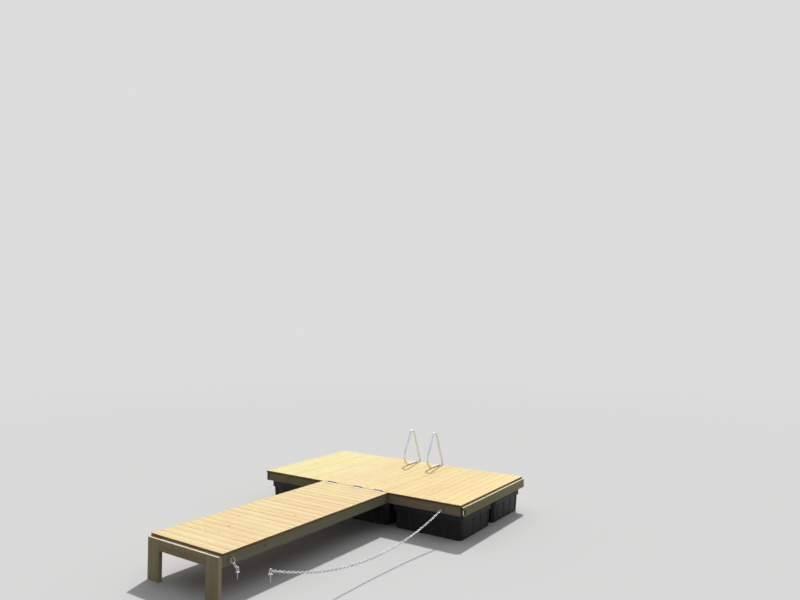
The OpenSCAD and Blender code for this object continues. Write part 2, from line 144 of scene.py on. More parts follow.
class Finish:
    # A material under construction: its constants go straight on the shader's own sockets
    def __init__(self, name, constants=None, tree=None):
        if tree is None:
            self.material = bpy.data.materials.new(name)
            self.material.use_nodes = True
            tree = self.material.node_tree
            self.shader = tree.nodes["Principled BSDF"]
            for socket, value in (constants or {}).items():
                self.shader.inputs[socket].default_value = value
        self.tree = tree

    def node(self, kind, settings=None, inputs=None, out=0):
        made = self.tree.nodes.new(kind)
        for setting, value in (settings or {}).items():
            if setting == "stops":
                ramp = made.color_ramp
                while len(ramp.elements) < len(value):
                    ramp.elements.new(0.5)
                for element, (position, shade) in zip(ramp.elements, value):
                    element.position = position
                    element.color = shade if isinstance(shade, tuple) else (shade, shade, shade, 1)
            else:
                setattr(made, setting, value)
        for socket, value in (inputs or {}).items():
            if isinstance(value, Wire):
                self.tree.links.new(value.socket, made.inputs[socket])
            else:
                made.inputs[socket].default_value = value
        return Wire(self, made.outputs[out])

    def maths(self, operation, *values):
        return self.node("ShaderNodeMath", {"operation": operation}, dict(enumerate(values)))

    def mix(self, factor, first, second, blend="MIX"):
        return self.node("ShaderNodeMix",
                         {"data_type": "RGBA", "blend_type": blend, "clamp_factor": True},
                         {0: factor, 6: first, 7: second}, out=2)

    def spread(self, value, low, high, start=0.0, end=1.0):
        # Carries low..high smoothly over to start..end
        return self.node("ShaderNodeMapRange", {"interpolation_type": "SMOOTHSTEP", "clamp": True},
                         {"Value": value, "From Min": low, "From Max": high,
                          "To Min": start, "To Max": end})

    def place(self):
        return self.node("ShaderNodeTexCoord", out="Object")

    def attribute(self, name, out="Fac"):
        return self.node("ShaderNodeAttribute", {"attribute_name": name}, out=out)

    def split(self, vector):
        axes = self.node("ShaderNodeSeparateXYZ", inputs={0: vector}).socket.node
        return [Wire(self, socket) for socket in axes.outputs]

    def join(self, x, y, z):
        return self.node("ShaderNodeCombineXYZ", inputs={0: x, 1: y, 2: z})

    def scaled(self, vector, factors):
        return self.node("ShaderNodeVectorMath", {"operation": "MULTIPLY"}, {0: vector, 1: factors})

    def noise(self, vector, scale, detail, roughness=0.5):
        return self.node("ShaderNodeTexNoise", inputs={"Vector": vector, "Scale": scale,
                                                       "Detail": detail, "Roughness": roughness})

    def cells(self, vector, scale, out, flat=False, randomness=1.0):
        return self.node("ShaderNodeTexVoronoi", {"voronoi_dimensions": "2D" if flat else "3D"},
                         {"Vector": vector, "Scale": scale, "Randomness": randomness}, out=out)

    def feed(self, **sockets):
        for socket, wire in sockets.items():
            self.tree.links.new(wire.socket, self.shader.inputs[socket.replace("_", " ")])

    def bump(self, height, depth):
        # height in shares of depth, which is in metres
        self.feed(Normal=self.node("ShaderNodeBump", inputs={"Height": height, "Strength": 1.0,
                                                             "Distance": depth}))


# Light: a soft key from behind the jetty, a world that is brighter behind than in front.
# lean: how its glow grows along x, y and z
light = {"keyAzimuth": 111, "keyHeight": 51.5, "keyStrength": 2.35, "keyAngle": 3,
         "keyColour": (1.0, 0.985, 0.955), "lean": (-0.25, 0.75, 0.6), "leanReach": (-0.5, 0.95),
         "front": 0.09, "behind": 0.60, "tint": (0.99, 1.0, 1.03), "backdrop": 0.72}

key = bpy.data.lights.new("key", "SUN")
key.energy = light["keyStrength"]
key.angle = math.radians(light["keyAngle"])
key.color = light["keyColour"]
keyLamp = bpy.data.objects.new("key", key)
scene.collection.objects.link(keyLamp)
azimuth, height = math.radians(light["keyAzimuth"]), math.radians(light["keyHeight"])
towards = Vector((math.cos(azimuth) * math.cos(height), math.sin(azimuth) * math.cos(height),
                  math.sin(height)))
keyLamp.rotation_euler = towards.to_track_quat("Z", "Y").to_euler()


def seenDirectly(finish):
    # 1 for rays from the camera, a reflection or a clear pane, 0 for light that spreads
    rays = [finish.node("ShaderNodeLightPath", out=name)
            for name in ("Is Camera Ray", "Is Glossy Ray", "Is Transmission Ray")]
    return finish.maths("MAXIMUM", finish.maths("MAXIMUM", rays[0], rays[1]), rays[2])


world = bpy.data.worlds.new("studio")
world.use_nodes = True
scene.world = world
sky = Finish("studio", tree=world.node_tree)
background = world.node_tree.nodes["Background"]
skyX, skyY, skyZ = [axis * share for axis, share in
                    zip(sky.split(sky.node("ShaderNodeTexCoord", out="Generated")), light["lean"])]
glow = sky.spread(skyX + skyY + skyZ, *light["leanReach"], light["front"], light["behind"])
pale = (light["backdrop"],) * 3 + (1,)
skyColour = sky.mix(seenDirectly(sky), sky.join(*(glow * share for share in light["tint"])), pale)
world.node_tree.links.new(skyColour.socket, background.inputs["Color"])

# Floor: pale to the eye, darker for the light that it throws back at the jetty
floorLook = {"half": 60.0, "below": 0.0005, "lit": (0.70, 0.70, 0.70, 1),
             "bounce": (0.11, 0.11, 0.105, 1), "fadeFrom": 7.0, "fadeTo": 30.0}

floorFinish = Finish("paleFloor", {"Roughness": 0.9, "Specular IOR Level": 0.0})
floorShape = bmesh.new()
bmesh.ops.create_grid(floorShape, x_segments=1, y_segments=1, size=floorLook["half"])
bmesh.ops.translate(floorShape, vec=(0, 0, -floorLook["below"]), verts=floorShape.verts)
floor = bpy.data.objects.new("floor", meshFrom(floorShape, "floor"))
scene.collection.objects.link(floor)
floor.data.materials.append(floorFinish.material)
seen = seenDirectly(floorFinish)
floorFinish.feed(Base_Color=floorFinish.mix(seen, floorLook["bounce"], floorLook["lit"]))
away = floorFinish.node("ShaderNodeVectorMath", {"operation": "LENGTH"}, {0: floorFinish.place()},
                        out="Value")
fade = floorFinish.spread(away, floorLook["fadeFrom"], floorLook["fadeTo"]) * seen
blended = floorFinish.node("ShaderNodeMixShader",
                           inputs={0: fade, 1: Wire(floorFinish, floorFinish.shader.outputs[0]),
                                   2: floorFinish.node("ShaderNodeEmission", inputs={"Color": pale})})
floorFinish.tree.links.new(blended.socket,
                           floorFinish.tree.nodes["Material Output"].inputs["Surface"])

print("jetty: finishes")


# Scales of the wood's patterns: along a board, across it and through it
woodScale = {"wander": (0.55, 4.0, 4.0), "ringDrift": (1.5, 40, 40), "fibre": (9, 620, 620),
             "streak": (0.9, 26, 26), "resin": (2.2, 90, 90)}
# A ring's shade, from its pale early wood to its dark late wood
ringShades = [(0.0, 0.15), (0.12, 0.0), (0.5, 0.12), (0.86, 0.85), (0.95, 1.0), (1.0, 0.25)]


def pineFinish(name, look):
    # Solid wood: rings round a pith that every board keeps in its own grain coordinates
    wood = Finish(name, {"Specular IOR Level": 0.28})
    grain = wood.attribute("grain", "Vector")
    tone, cut, bare = (wood.attribute(layer) for layer in ("tone", "cut", "bare"))
    along, across, through = wood.split(grain)

    # Knots are branches: round spots that go through the board
    knotSpot = wood.scaled(grain, (1 / look["knotCell"] / look["knotStretch"], 1 / look["knotCell"], 0))
    knotAway = wood.cells(knotSpot, 1.0, "Distance", True, look["knotScatter"]) * look["knotCell"]
    knotDice = wood.split(wood.cells(knotSpot, 1.0, "Color", True, look["knotScatter"]))
    knotHere = wood.maths("LESS_THAN", knotDice[1], look["knotShare"])
    knotRadius = knotDice[0] * look["knotSpread"] + look["knotSmallest"]
    ragged = wood.noise(grain, look["knotRag"], 2) * 0.5 + 0.75
    knotReach = knotAway / (knotRadius * ragged)
    knot = knotHere * wood.spread(knotReach, *look["knotEdge"])
    halo = knotHere * wood.spread(knotReach, *look["haloEdge"])

    # Growth rings
    wander = wood.noise(wood.scaled(grain, woodScale["wander"]), 1.0, 3)
    ringRadius = wood.maths("SQRT", across * across + through * through)
    ringPlace = (ringRadius + (wander - 0.5) * look["wander"] + along * look["taper"]
                 + halo * look["knotPush"])
    ringDrift = wood.noise(wood.scaled(grain, woodScale["ringDrift"]), 1.0, 1) * look["ringDrift"]
    ringShare = wood.maths("FRACT", ringPlace / look["ring"] + ringDrift)
    lateWood = wood.node("ShaderNodeValToRGB", {"stops": ringShades}, {0: ringShare})

    # Fibres, slow streaks and spots of resin along the board
    fibre = wood.noise(wood.scaled(grain, woodScale["fibre"]), 1.0, 3, 0.6)
    streak = wood.noise(wood.scaled(grain, woodScale["streak"]), 1.0, 3, 0.55)
    resin = wood.spread(wood.noise(wood.scaled(grain, woodScale["resin"]), 1.0, 2), *look["resinEdge"])

    colour = wood.mix(wood.spread(streak, *look["streakEdge"]), look["early"], look["streak"])
    colour = wood.mix(lateWood * look["ringShow"], colour, look["late"])
    colour = wood.mix(resin * look["resinShow"], colour, look["late"])
    heart = wood.spread(ringRadius, *look["heartReach"]) * look["heart"]
    colour = wood.mix(heart, colour, look["heartColour"])
    deep = wood.spread(tone, *look["deepReach"]) * look["deepShow"]
    colour = wood.mix(deep, colour, look["deepTone"], "MULTIPLY")
    paler = wood.spread(tone, *look["paleReach"]) * look["paleShow"]
    colour = wood.mix(paler, colour, look["paleTone"], "MULTIPLY")
    fibreShade = wood.join(*(fibre * swing + darkest for swing, darkest in look["fibreShades"]))
    colour = wood.mix(1.0, colour, fibreShade, "MULTIPLY")
    knotRings = wood.maths("FRACT", knotAway / look["knotRing"])
    knotColour = wood.mix(knotRings * look["knotRingShow"], look["knotColour"], look["knotCore"])
    knotColour = wood.mix(wood.spread(knotReach, *look["barkEdge"]), knotColour, look["knotCore"])
    colour = wood.mix(halo * look["haloShow"], colour, look["late"])
    colour = wood.mix(knot * look["knotShow"], colour, knotColour)
    # Darker sawn end grain; the deck's very dark end tone is partly painted shade, and the same tone is
    # painted shade on plank sides and the deck's outer edges
    colour = wood.mix(cut * look["endGrainAndShadeShow"], colour, look["endGrainAndShadeTone"], "MULTIPLY")
    # Wide, faint patches where the wood has dried out
    patch = wood.spread(wood.noise(wood.place(), look["patchScale"], 2), *look["patchEdge"])
    colour = wood.mix(patch, colour, look["patch"], "MULTIPLY")
    # Tints that come in along x: from where each begins to where it is full, and its tint
    for begins, full, tintAlongX in look["tintsAlongX"]:
        share = wood.spread(wood.split(wood.place())[0], begins, full)
        colour = wood.mix(share, colour, tintAlongX, "MULTIPLY")
    colour = wood.mix(1.0, colour, look["tint"], "MULTIPLY")
    # Painted sunlight: a near-white edge on a top that no plank covers
    paintedSunShare = wood.spread(bare, *look["paintedSunEdge"]) * look["paintedSunShow"]
    wood.feed(Base_Color=wood.mix(paintedSunShare, colour, look["paintedSunColour"]))
    wood.feed(Roughness=look["roughness"] - lateWood * 0.12 + fibre * 0.1 - knot * 0.12 + cut * 0.08)
    wood.bump(lateWood * 0.25 + fibre * 0.35 + streak * 0.4 - knot * 0.2 + cut * fibre * 0.8,
              look["relief"])
    return wood.material


deckLook = {"early": srgb(253, 235, 184), "streak": srgb(249, 226, 168), "late": srgb(226, 184, 112),
            "heartColour": srgb(234, 192, 130), "heart": 0.35, "heartReach": (0.055, 0.02),
            "streakEdge": (0.3, 0.72), "resinEdge": (0.68, 0.8), "resinShow": 0.16,
            "fibreShades": ((0.16, 0.92), (0.18, 0.91), (0.22, 0.89)),
            "ring": 0.0034, "ringShow": 0.34, "ringDrift": 1.6, "wander": 0.034, "taper": 0.003,
            "knotCell": 0.21, "knotStretch": 1.2, "knotScatter": 0.85, "knotShare": 0.22,
            "knotSmallest": 0.0035, "knotSpread": 0.008, "knotRag": 160, "knotRing": 0.0022,
            "knotEdge": (1.15, 0.85), "haloEdge": (3.4, 0.9), "barkEdge": (0.72, 0.98),
            "knotPush": 0.009, "knotRingShow": 0.5, "haloShow": 0.32, "knotShow": 0.86,
            "knotColour": srgb(216, 164, 104), "knotCore": srgb(168, 112, 66),
            "deepTone": (0.965, 0.925, 0.865, 1), "deepReach": (0.35, 1.0), "deepShow": 0.75,
            "paleTone": (1.01, 1.025, 1.05, 1), "paleReach": (0.5, 0.0), "paleShow": 0.6,
            "endGrainAndShadeTone": (0.16, 0.12, 0.09, 1), "endGrainAndShadeShow": 0.8, "tint": (1, 1, 1, 1), "tintsAlongX": (),
            "patch": (0.992, 0.958, 0.962, 1), "patchScale": 1.7, "patchEdge": (0.42, 0.60),
            "paintedSunColour": srgb(255, 244, 222), "paintedSunEdge": (0.35, 0.85), "paintedSunShow": 0.85,
            "roughness": 0.66, "relief": 0.0006}
frameLook = dict(deckLook, early=srgb(232, 222, 184), streak=srgb(222, 206, 164),
                 late=srgb(190, 162, 114), heartColour=srgb(202, 172, 124), ring=0.0040, ringShow=0.42,
                 knotCell=0.26, knotShare=0.24, knotSmallest=0.004, knotSpread=0.010,
                 knotColour=srgb(178, 152, 112), knotCore=srgb(124, 102, 74),
                 endGrainAndShadeTone=(0.46, 0.40, 0.32, 1), relief=0.0010)
# The platform's first planks are more lemon, its last ones paler
deckPine = pineFinish("deckPine", dict(deckLook, tint=(0.980, 0.970, 0.935, 1),
                                       tintsAlongX=((-0.2, -1.4, (1.03, 1.165, 1.17, 1)),
                                               (1.38, 1.48, (1.06, 1.085, 1.05, 1)))))
walkPine = pineFinish("walkPine", dict(deckLook, tint=(0.965, 0.955, 0.950, 1), ringShow=0.24,
                                       knotShare=0.16, deepTone=(0.985, 0.955, 0.915, 1),
                                       patch=(0.988, 0.945, 0.960, 1)))
framePine = pineFinish("framePine", frameLook)
# Painted shade on timbers whose faces stand in shade: the platform's front and joists are browner and turn
# darker and greener towards the left, its ends greener, and the gangway's sides darker
shadedFrontPine = pineFinish("shadedFrontPine", dict(frameLook, tint=(0.80, 0.74, 0.86, 1),
                                       tintsAlongX=((-0.2, -0.8, (0.81, 0.84, 0.66, 1)),)))
shadedEndLook = dict(frameLook, tint=(0.60, 0.64, 0.58, 1), knotShare=0.10)
shadedEndPine = pineFinish("shadedEndPine", shadedEndLook)
# Its end grain takes the deck's darker end tone: painted shade beside the notch
shadedNotchPine = pineFinish("shadedNotchPine", dict(shadedEndLook, endGrainAndShadeTone=deckLook["endGrainAndShadeTone"]))
shadedGangwayPine = pineFinish("shadedGangwayPine", dict(frameLook, tint=(0.52, 0.60, 0.65, 1), knotShare=0.02))
# Near-black: painted shadow inside the corner notch
notchShadowPine = pineFinish("notchShadowPine", dict(frameLook, tint=(0.16, 0.13, 0.11, 1)))


def zincFinish(name, look):
    # Hot-dip zinc: crystals that catch the light in turn, dull clouds and fine grit
    zinc = Finish(name, {"Metallic": look["metallic"]})
    spot = zinc.place()
    crystal = zinc.split(zinc.cells(spot, 1 / look["crystal"], "Color"))[0]
    cloud = zinc.noise(spot, look["cloud"], 3, 0.6)
    grit = zinc.noise(spot, look["grit"], 2)
    dull = zinc.spread(cloud, *look["dullEdge"])
    colour = zinc.mix(crystal * look["sparkle"], look["colour"], look["bright"])
    colour = zinc.mix(dull * look["dullShow"], colour, look["dull"])
    speck = zinc.spread(grit, *look["speckEdge"]) * look["speckShow"]
    zinc.feed(Base_Color=zinc.mix(speck, colour, look["speck"]))
    zinc.feed(Roughness=look["roughness"] + crystal * 0.1 + dull * 0.14 + grit * 0.06)
    zinc.bump(crystal * 0.25 + cloud * 0.5 + grit * 0.3, look["relief"])
    return zinc.material


zincLook = {"metallic": 0.75, "crystal": 0.008, "cloud": 22, "grit": 900, "sparkle": 0.8,
            "colour": srgb(214, 217, 218), "bright": srgb(242, 243, 243), "dull": srgb(196, 199, 201),
            "dullEdge": (0.42, 0.68), "dullShow": 0.45, "speck": srgb(150, 150, 148),
            "speckEdge": (0.66, 0.8), "speckShow": 0.35, "roughness": 0.34, "relief": 0.0003}
dullLook = dict(zincLook, metallic=0.12, colour=srgb(164, 156, 132), bright=srgb(186, 179, 156),
                dull=srgb(140, 132, 108), speck=srgb(100, 92, 74), roughness=0.52)
leafLook = dict(zincLook, metallic=0.3, colour=srgb(214, 204, 178), bright=srgb(230, 221, 198),
                dull=srgb(194, 184, 158), speck=srgb(146, 136, 114), roughness=0.5)
chainLook = dict(zincLook, metallic=0.4, colour=srgb(232, 234, 236), bright=srgb(248, 249, 250),
                 dull=srgb(214, 217, 220), crystal=0.004, roughness=0.28, relief=0.00015)
# Dark bluish grey on the hinge knuckles and pins: painted shade
knuckleShadeLook = dict(zincLook, colour=srgb(112, 119, 132), bright=srgb(142, 149, 160),
               dull=srgb(96, 103, 115))
galvanised = zincFinish("brightZincPlate", zincLook)
dullZinc = zincFinish("dullZincPlate", dullLook)
leafZinc = zincFinish("hingeLeafZinc", leafLook)
chainZinc = zincFinish("brightZincChain", chainLook)
knuckleShadeSteel = zincFinish("shadedKnuckleZinc", knuckleShadeLook)

tubeLook = {"colour": srgb(232, 236, 240), "cool": srgb(214, 220, 227), "cloud": 9, "fine": 1400,
            "coolEdge": (0.35, 0.7), "smear": (60, 60, 14), "roughness": 0.2, "relief": 0.00012}


def tubeFinish(name, look):
    # Satin tube: drawn lines too fine to count, with soft clouds of handling
    tube = Finish(name, {"Metallic": 1.0})
    spot = tube.place()
    cloud = tube.noise(spot, look["cloud"], 4, 0.6)
    fine = tube.noise(spot, look["fine"], 2)
    smear = tube.noise(tube.scaled(spot, look["smear"]), 1.0, 3, 0.6)
    tube.feed(Base_Color=tube.mix(tube.spread(cloud, *look["coolEdge"]), look["colour"], look["cool"]))
    tube.feed(Roughness=look["roughness"] + cloud * 0.12 + fine * 0.1 + smear * 0.1)
    tube.bump(fine * 0.6 + smear * 0.4, look["relief"])
    return tube.material


satinTube = tubeFinish("satinTube", tubeLook)

plasticLook = {"colour": srgb(28, 32, 31), "worn": srgb(50, 54, 52), "scuffed": srgb(84, 88, 84),
               "wornEdge": (0.4, 0.75), "wornShow": 0.6, "scuffEdge": (0.64, 0.74), "scuffShow": 0.35,
               "pebble": 420, "cloud": 5.5, "swirl": 46, "scuff": (7, 7, 120), "roughness": 0.42,
               "relief": 0.0006}


def plasticFinish(name, look):
    # Moulded shell: pebbled skin, cloudy wear and a few long scuffs
    shell = Finish(name, {"Specular IOR Level": 0.35})
    spot = shell.place()
    pebble = shell.cells(spot, look["pebble"], "Distance")
    cloud = shell.noise(spot, look["cloud"], 5, 0.62)
    swirl = shell.noise(spot, look["swirl"], 3, 0.6)
    scuff = shell.spread(shell.noise(shell.scaled(spot, look["scuff"]), 1.0, 3, 0.65), *look["scuffEdge"])
    worn = shell.spread(cloud, *look["wornEdge"]) * look["wornShow"]
    colour = shell.mix(worn, look["colour"], look["worn"])
    shell.feed(Base_Color=shell.mix(scuff * look["scuffShow"], colour, look["scuffed"]))
    shell.feed(Roughness=look["roughness"] + cloud * 0.18 + pebble * 0.1 + scuff * 0.14)
    shell.bump(pebble * 0.5 + swirl * 0.5, look["relief"])
    return shell.material


blackPlastic = plasticFinish("mouldedPlastic", plasticLook)

print("jetty: timber")


def finishPiece(name, shape, finish, body, replaced=(), smoothAngle=40):
    # smoothAngle: edges sharper than this many degrees stay crisp
    mesh = meshFrom(shape, name)
    mesh.shade_smooth()
    mesh.set_sharp_from_angle(angle=math.radians(smoothAngle))
    piece = bpy.data.objects.new(name, mesh)
    scene.collection.objects.link(piece)
    mesh.materials.append(finish)
    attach(piece, body)
    if replaced:
        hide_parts(*replaced)
    return piece


timber = {"edge": 0.0035, "endEdge": 0.0012, "plankEdge": 0.0008, "buttEdge": 0.0012, "steps": 3,
          "notchEdge": 0.0018, "notchSkin": 0.0024, "notchReach": 0.062, "endDress": 0.0006,
          "sideShadeFrom": 0.00072, "sideShade": 0.2, "toneSwing": 0.6, "logLength": 24,
          "pithAcross": 0.05, "pithNear": 0.03, "pithFar": 0.11, "merge": 2e-6, "flat": 0.4}


def woodShape(shape=None):
    shape = shape or bmesh.new()
    shape.verts.layers.float_vector.new("grain")
    for layer in ("tone", "cut", "bare"):
        shape.verts.layers.float.new(layer)
    return shape


def giveGrain(shape, verts, low, high, alongAxis, wideAxis, plank=False, outward=None):
    # The board's place in its log, its tone, where it was sawn across or takes painted shade, and the
    # painted sunlight on its upper outer edge
    size, middle = high - low, (low + high) / 2
    thinAxis = 3 - alongAxis - wideAxis
    grain = shape.verts.layers.float_vector["grain"]
    tone, cut, bare = (shape.verts.layers.float[layer] for layer in ("tone", "cut", "bare"))
    start = dice.uniform(0, timber["logLength"])
    turned = dice.choice((-1, 1))
    pithAcross = dice.uniform(-timber["pithAcross"], timber["pithAcross"])
    pithThrough = dice.choice((-1, 1)) * dice.uniform(timber["pithNear"], timber["pithFar"])
    boardTone = 0.5 + (dice.random() - 0.5) * (timber["toneSwing"] if plank else 1.0)
    for v in verts:
        place = v.co - middle
        v[grain] = (turned * place[alongAxis] + start, place[wideAxis] + pithAcross,
                    place[thinAxis] + pithThrough)
        v[tone] = boardTone
        sawnAcross = abs(abs(place[alongAxis]) - size[alongAxis] / 2) < hair
        # A plank's sides below its top take painted shade
        below = plank and v.co.z < high.z - timber["sideShadeFrom"]
        v[cut] = 1.0 if sawnAcross else timber["sideShade"] if below else 0.0
        # Painted sunlight on the top's outward side, where no plank covers it
        v[bare] = 1.0 if outward and v.co.z > high.z - hair and place.dot(Vector(outward)) > 0 else 0.0


def addBoard(shape, low, high, alongAxis, wideAxis, edge, plank=False, outward=None):
    # A board between two corners with eased edges; a plank's are the upper ones only
    low, high = Vector(low), Vector(high)
    size, middle = high - low, (low + high) / 2
    known = set(shape.verts)
    corners = bmesh.ops.create_cube(shape, size=1.0)["verts"]
    bmesh.ops.scale(shape, vec=size, verts=corners)
    bmesh.ops.translate(shape, vec=middle, verts=corners)

    def ownEdges():
        return [(e, abs(e.verts[1].co[alongAxis] - e.verts[0].co[alongAxis])) for e in shape.edges
                if e.verts[0] not in known]

    roundEdges(shape, [e for e, reach in ownEdges()
                       if reach > hair and not (plank and e.verts[0].co.z < middle.z)],
               edge, timber["steps"])
    roundEdges(shape, [e for e, reach in ownEdges() if reach < hair
                       and abs(e.verts[0].co[alongAxis] - middle[alongAxis]) > size[alongAxis] / 2 - hair],
               timber["endEdge"], 1)
    giveGrain(shape, [v for v in shape.verts if v not in known], low, high, alongAxis, wideAxis, plank,
              outward)


def nodeBoard(node, alongAxis, wideAxis, body, finish=framePine, edge=timber["edge"], dressed=(0, 0, 0),
              outward=None):
    # dressed: how far its low faces are planed back, so that screw heads stay inside the jetty's box
    # outward: the side on which no plank covers its upper edge; that edge takes painted sunlight
    shape = woodShape()
    low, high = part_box(node)
    addBoard(shape, low + Vector(dressed), high, alongAxis, wideAxis, edge, outward=outward)
    finishPiece(node + "_timber", shape, finish, body, [node])


for node, finish in (("platform_front_beam", shadedFrontPine), ("platform_rear_beam", framePine),
                     ("platform_front_joist", shadedFrontPine), ("platform_rear_joist", shadedFrontPine)):
    nodeBoard(node, 0, 2, "platform", finish)
nodeBoard("platform_left_end_board", 1, 2, "platform", shadedEndPine, dressed=(timber["endDress"], 0, 0))
for node in ("gangway_left_beam", "gangway_right_beam", "gangway_middle_beam"):
    nodeBoard(node, 1, 2, "gangway", shadedGangwayPine)
nodeBoard("gangway_lake_board", 0, 2, "gangway", shadedGangwayPine)
nodeBoard("gangway_shore_board", 0, 2, "gangway", edge=timber["buttEdge"], outward=(0, -1, 0))
for node in ("left_shore_leg", "right_shore_leg"):
    nodeBoard(node, 2, 0, "gangway", edge=timber["buttEdge"], outward=(0, -1, 0))


def cleanCopy(node):
    # A node's own form with its loose triangles joined and its flats made whole
    shape = bmesh.new()
    shape.from_mesh(nodes[node].data)
    bmesh.ops.remove_doubles(shape, verts=shape.verts, dist=timber["merge"])
    joinFlats(shape, timber["flat"])
    return shape


def notchedBoard(node):
    # The right end board, its front corner notched for the corner bar; the inside of the notch is painted
    # in shadow
    low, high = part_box(node)
    shape = cleanCopy(node)
    bmesh.ops.translate(shape, vec=(-timber["endDress"], 0, 0),
                        verts=[v for v in shape.verts if v.co.x > high.x - hair])
    roundEdges(shape, sharpEdges(shape), timber["notchEdge"], clamp=True)
    woodShape(shape)
    giveGrain(shape, shape.verts, low, high, 1, 2, outward=(1, 0, 0))
    # Faces inside the notch take the second, near-black finish: painted shadow
    skin = timber["notchSkin"]
    for f in shape.faces:
        centre = f.calc_center_median()
        inside = low.z + skin < centre.z < high.z - skin and low.x + skin < centre.x < high.x - skin
        if inside and low.y + skin < centre.y < low.y + timber["notchReach"]:
            f.material_index = 1
    piece = finishPiece(node + "_timber", shape, shadedNotchPine, "platform", [node])
    piece.data.materials.append(notchShadowPine)


notchedBoard("platform_right_end_board")

# Decks: planks front to back on the platform and crosswise on the gangway
deck = {"plankWidth": 0.120, "platformCount": 29, "gangwayCount": 24, "endPlay": 0.0016,
        "sidePlay": 0.0016}


def plankMiddles(node, layAxis, count, fromHigh):
    # The planks' middles, in the order of laying: from the left, or from the lake
    low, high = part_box(node)
    half = deck["plankWidth"] / 2
    pitch = (high[layAxis] - low[layAxis] - 2 * half) / (count - 1)
    return [high[layAxis] - half - i * pitch if fromHigh else low[layAxis] + half + i * pitch
            for i in range(count)]


def layDeck(node, name, finish, body, layAxis, count, fromHigh):
    low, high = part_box(node)
    alongAxis = 1 - layAxis
    shape = woodShape()
    for i, middle in enumerate(plankMiddles(node, layAxis, count, fromHigh)):
        if 0 < i < count - 1:
            middle += dice.uniform(-deck["sidePlay"], deck["sidePlay"])
        boardLow, boardHigh = low.copy(), high.copy()
        boardLow[layAxis] = middle - deck["plankWidth"] / 2
        boardHigh[layAxis] = middle + deck["plankWidth"] / 2
        boardLow[alongAxis] += dice.uniform(0, deck["endPlay"])
        boardHigh[alongAxis] -= dice.uniform(0, deck["endPlay"])
        addBoard(shape, boardLow, boardHigh, alongAxis, layAxis, timber["plankEdge"], plank=True)
    cut = shape.verts.layers.float["cut"]
    for v in shape.verts:
        if v[cut] and min(v.co[layAxis] - low[layAxis], high[layAxis] - v.co[layAxis]) < hair:
            v[cut] = 1.0  # painted shade: the deck's outer sides take the full dark tone of its sawn ends
    finishPiece(name, shape, finish, body, [node])


layDeck("platform_planks", "platform_deck", deckPine, "platform", 0, deck["platformCount"], False)
layDeck("gangway_planks", "gangway_deck", walkPine, "gangway", 1, deck["gangwayCount"], True)

print("jetty: screws")

# Heads by use, in metres: radius, how far proud of the wood, the drive's radius and its depth
screwKinds = {"deck": (0.0042, 0.0005, 0.0021, 0.0011), "pan": (0.0062, 0.0022, 0.003, 0.0018),
              "sunk": (0.0056, 0.0001, 0.0028, 0.0004)}
# Shares are of a head's radius, rows of a timber's height, the rest is in metres
screw = {"sides": 12, "rimShare": 0.28, "crownShare": 0.06, "starShare": 0.72, "bury": 0.0012,
         "inset": 0.028, "sink": 0.0002, "sidePlay": 0.002, "linePlay": 0.0025, "topInset": 0.016,
         "rows": (0.2, 0.5, 0.8)}


def screwHead(kind):
    # A round head with a star drive, for a surface at z = 0
    radius, proud, drive, driveDepth = screwKinds[kind]
    shape = bmesh.new()
    disc = bmesh.ops.create_circle(shape, cap_ends=True, radius=radius, segments=screw["sides"])["verts"]
    footRim = pushRing(shape, list(shape.edges), (0, 0, -screw["bury"]))
    bmesh.ops.translate(shape, vec=(0, 0, proud), verts=disc)
    top = [f for f in shape.faces if abs(f.normal.z) > 0.9]
    bmesh.ops.inset_region(shape, faces=top, thickness=radius * screw["rimShare"], depth=0.0)
    for v in top[0].verts:
        v.co.z = proud + radius * screw["crownShare"]
    bmesh.ops.inset_region(shape, faces=top, thickness=radius * (1 - screw["rimShare"]) - drive, depth=0.0)
    for v in list(top[0].verts)[1::2]:
        v.co.xy *= screw["starShare"]
    pushed = bmesh.ops.extrude_face_region(shape, geom=top)["geom"]
    bmesh.ops.translate(shape, vec=(0, 0, -driveDepth), verts=vertsOf(pushed))
    bmesh.ops.delete(shape, geom=[f for f in top if f.is_valid], context="FACES_ONLY")
    bmesh.ops.contextual_create(shape, geom=footRim)
    bmesh.ops.recalc_face_normals(shape, faces=shape.faces)
    return meshFrom(shape, kind + "ScrewHead")


heads = {kind: screwHead(kind) for kind in screwKinds}
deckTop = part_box("platform_planks")[1].z


def stamp(shape, mesh, places):
    for place in places:
        known = len(shape.verts)
        shape.from_mesh(mesh)
        shape.verts.ensure_lookup_table()
        bmesh.ops.transform(shape, matrix=place, verts=shape.verts[known:])


def facing(point, normal, spin):
    turn = Vector(normal).to_track_quat("Z", "Y").to_matrix().to_4x4()
    return Matrix.Translation(point) @ turn @ Matrix.Rotation(spin, 4, "Z")


def middleOf(node, axis):
    low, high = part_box(node)
    return (low[axis] + high[axis]) / 2


def addScrews(name, body, places, kind="pan", finish=dullZinc):
    shape = bmesh.new()
    stamp(shape, heads[kind], places)
    finishPiece(name, shape, finish, body, smoothAngle=sharpFrom)


def deckScrews(name, body, node, layAxis, count, fromHigh, timbers):
    # Two screws where each plank crosses each timber under it
    places = []
    for middle in plankMiddles(node, layAxis, count, fromHigh):
        for line in [middleOf(node, 1 - layAxis) for node in timbers]:
            for side in (-1, 1):
                point = Vector((0, 0, deckTop - screw["sink"]))
                point[layAxis] = (middle + side * (deck["plankWidth"] / 2 - screw["inset"])
                                  + dice.uniform(-screw["sidePlay"], screw["sidePlay"]))
                point[1 - layAxis] = line + dice.uniform(-screw["linePlay"], screw["linePlay"])
                places.append(facing(point, (0, 0, 1), dice.uniform(0, math.pi)))
    addScrews(name, body, places, "deck", galvanised)


